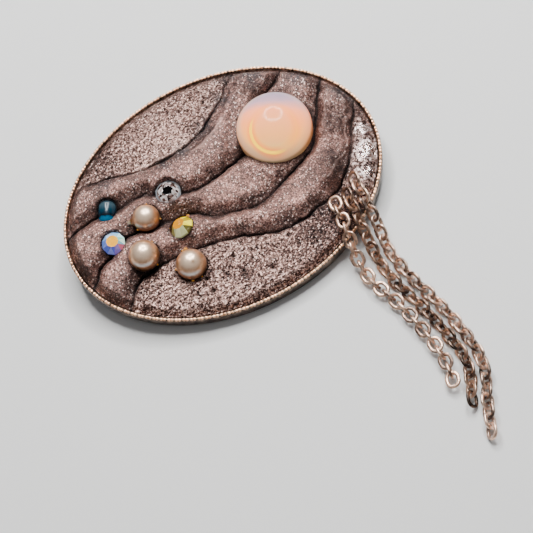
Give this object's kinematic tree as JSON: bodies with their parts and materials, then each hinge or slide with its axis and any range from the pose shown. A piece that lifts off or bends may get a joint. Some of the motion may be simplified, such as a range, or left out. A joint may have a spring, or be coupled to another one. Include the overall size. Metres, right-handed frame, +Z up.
{
  "type": "moon brooch",
  "caption": "Oval brooch: a milled metal tray filled with folded metallic clay, set with a round milky moon cabochon, pearls and stones, with strands of cable chain.",
  "frame": {"origin": "centre of the part's outline on the surface it rests on", "axes": "+X along the oval's length, +Y away from the hanging chains, towards the far edge, +Z up from the surface"},
  "size_m": [0.042, 0.0608, 0.0086],
  "materials": {
    "setting_metal": "antiqued, milled edge rubbed bright",
    "pin_steel": "satin",
    "metal_clay": "dark clay rubbed with copper and silver mica powder",
    "opal_glass": "milky, polished",
    "pearl": "pearl lustre",
    "clear_crystal": "cut and foiled",
    "rainbow_crystal": "cut, with a rainbow coating",
    "yellow_crystal": "cut, with a yellow coating",
    "teal_glass": "polished",
    "chain_metal": "antiqued copper, worn bright on its upper sides"
  },
  "bodies": {
    "root": {"tray": "setting_metal", "pin_back": "pin_steel", "clay": "metal_clay", "moon_cabochon": "opal_glass", "pearl_upper": "pearl", "pearl_left": "pearl", "pearl_lower": "pearl", "clear_stone": "clear_crystal", "rainbow_stone": "rainbow_crystal", "yellow_stone": "yellow_crystal", "teal_bead": "teal_glass", "chain_left": "chain_metal", "chain_middle": "chain_metal", "chain_right": "chain_metal"}
  },
  "joints": []
}
